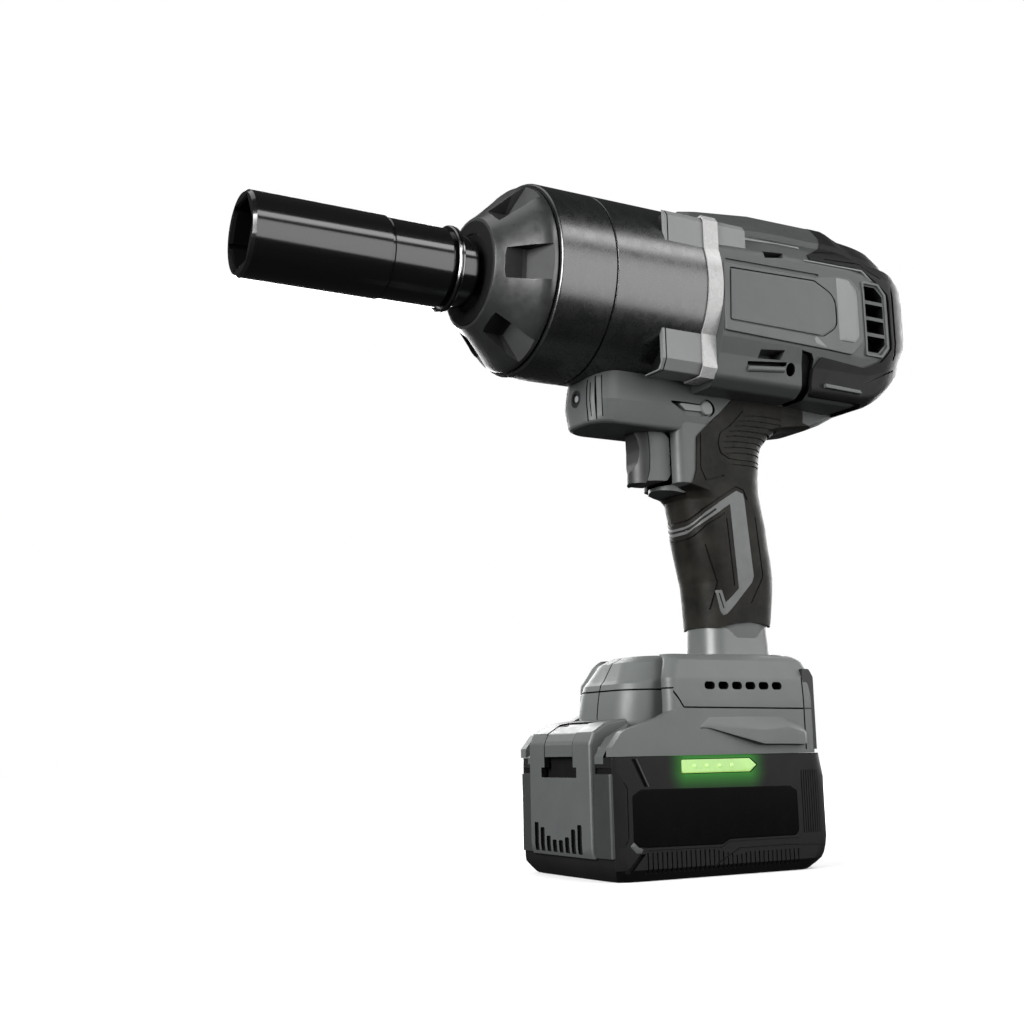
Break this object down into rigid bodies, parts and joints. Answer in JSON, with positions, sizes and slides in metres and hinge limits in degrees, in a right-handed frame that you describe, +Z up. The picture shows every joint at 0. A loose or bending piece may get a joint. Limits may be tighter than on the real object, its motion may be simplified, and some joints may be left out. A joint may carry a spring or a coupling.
{
  "type": "cordless impact wrench",
  "caption": "Pistol-grip cordless impact wrench with a deep socket, hammer mechanism, planetary drive, brushless motor and a slide-on battery pack.",
  "frame": {"origin": "centre of the battery pack's underside, on the surface where the tool stands", "axes": "-Y towards the socket, +X towards the tool's left side, +Z up"},
  "size_m": [0.0898, 0.34, 0.314],
  "materials": {
    "socket_steel": "satin",
    "bright_steel": "polished",
    "hard_steel": "satin",
    "dark_steel": "satin",
    "spring_steel": "satin",
    "bronze": "satin",
    "seal_rubber": "matte",
    "nose_metal": "satin",
    "case_metal": "satin",
    "cast_light": "satin",
    "grey_plastic": "matte",
    "light_plastic": "satin",
    "white_plastic": "satin",
    "black_plastic": "matte",
    "shell_black": "matte",
    "gloss_black": "gloss",
    "bumper_rubber": "matte",
    "grip_rubber": "matte",
    "lamp_lens": "gloss",
    "gauge_green": "gloss",
    "board_green": "satin",
    "copper": "satin",
    "contact_brass": "satin",
    "lamination": "satin",
    "magnet": "satin",
    "cell_wrap": "gloss",
    "lead_sleeve": "satin"
  },
  "bodies": {
    "tool": {"thrust_washer": "bronze", "anvil_bush": "bronze", "nose_seal": "seal_rubber", "nose_cover": "nose_metal", "hammer_case": "case_metal", "ring_gear": "dark_steel", "gearbox_plate": "cast_light", "carrier_bearing": "bright_steel", "motor_bearings": "bright_steel", "stator_core": "lamination", "stator_windings": "copper", "sensor_board": "board_green", "housing_left": "grey_plastic", "housing_right": "grey_plastic", "rear_bumper": "bumper_rubber", "clamp_pads": "light_plastic", "trim_band": "white_plastic", "badge_plates": "grey_plastic", "grip_left": "grip_rubber", "grip_right": "grip_rubber", "grip_inlays": "light_plastic", "trigger_switch": "black_plastic", "trigger_spring": "spring_steel", "work_light": "lamp_lens", "control_board": "board_green", "tool_terminals": "contact_brass", "power_leads": "lead_sleeve", "housing_screws": "dark_steel"},
    "output": {"socket": "socket_steel", "socket_ring": "bright_steel", "friction_ring": "spring_steel", "anvil": "hard_steel"},
    "cam": {"cam_carrier": "hard_steel", "cam_balls": "bright_steel", "planet_pins": "bright_steel", "hammer_spring": "spring_steel"},
    "hammer": {"hammer": "dark_steel"},
    "planet_1": {"planet_gear_1": "hard_steel"},
    "planet_2": {"planet_gear_2": "hard_steel"},
    "planet_3": {"planet_gear_3": "hard_steel"},
    "rotor": {"rotor_shaft": "hard_steel", "rotor_core": "lamination", "rotor_magnets": "magnet", "cooling_fan": "black_plastic"},
    "trigger": {"trigger": "grey_plastic", "trigger_pad": "black_plastic"},
    "selector": {"selector": "light_plastic"},
    "speed_button": {"speed_button": "grey_plastic"},
    "battery": {"battery_base": "shell_black", "battery_lid": "shell_black", "battery_front": "grey_plastic", "latch_springs": "spring_steel", "battery_cells": "cell_wrap", "cell_holders": "black_plastic", "battery_board": "board_green", "gauge_lens": "gauge_green", "label_panels": "gloss_black", "battery_screws": "dark_steel"},
    "battery_latch": {"battery_latch": "grey_plastic"}
  },
  "joints": [
    {"name": "output_spin", "type": "hinge", "parent": "tool", "child": "output", "pos_m": [0, -0.09, 0.2635], "axis": [0, 1, 0], "continuous": true},
    {"name": "cam_spin", "type": "hinge", "parent": "tool", "child": "cam", "pos_m": [0, -0.03, 0.2635], "axis": [0, 1, 0], "continuous": true},
    {"name": "hammer_retract", "type": "slide", "parent": "cam", "child": "hammer", "axis": [0, 1, 0], "range_m": [0, 0.01], "stiffness_N_per_m": 6000, "springref_m": -0.004, "deforming": ["hammer_spring"]},
    {"name": "planet_1_spin", "type": "hinge", "parent": "cam", "child": "planet_1", "pos_m": [0.015, 0, 0.2635], "axis": [0, 1, 0], "continuous": true},
    {"name": "planet_2_spin", "type": "hinge", "parent": "cam", "child": "planet_2", "pos_m": [-0.0075, 0, 0.25051], "axis": [0, 1, 0], "continuous": true},
    {"name": "planet_3_spin", "type": "hinge", "parent": "cam", "child": "planet_3", "pos_m": [-0.0075, 0, 0.27649], "axis": [0, 1, 0], "continuous": true},
    {"name": "rotor_spin", "type": "hinge", "parent": "tool", "child": "rotor", "pos_m": [0, 0.06, 0.2635], "axis": [0, 1, 0], "continuous": true},
    {"name": "trigger_pull", "type": "slide", "parent": "tool", "child": "trigger", "axis": [0, 1, 0], "range_m": [0, 0.007], "stiffness_N_per_m": 700, "springref_m": -0.002, "deforming": ["trigger_spring"]},
    {"name": "selector_shift", "type": "slide", "parent": "tool", "child": "selector", "axis": [1, 0, 0], "range_m": [-0.003, 0.003]},
    {"name": "speed_press", "type": "slide", "parent": "tool", "child": "speed_button", "axis": [0, -1, 0], "range_m": [0, 0.0012], "stiffness_N_per_m": 600, "springref_m": -0.001},
    {"name": "battery_slide", "type": "slide", "parent": "tool", "child": "battery", "axis": [0, -1, 0], "range_m": [0, 0.08]},
    {"name": "latch_press", "type": "slide", "parent": "battery", "child": "battery_latch", "axis": [0, 0, -1], "range_m": [0, 0.0033], "stiffness_N_per_m": 900, "springref_m": -0.001, "deforming": ["latch_springs"]}
  ],
  "couplings": [
    {"joint": "cam_spin", "follows": "output_spin", "ratio": 1},
    {"joint": "planet_1_spin", "follows": "output_spin", "ratio": -2.6667},
    {"joint": "planet_2_spin", "follows": "output_spin", "ratio": -2.6667},
    {"joint": "planet_3_spin", "follows": "output_spin", "ratio": -2.6667},
    {"joint": "rotor_spin", "follows": "output_spin", "ratio": 5}
  ]
}
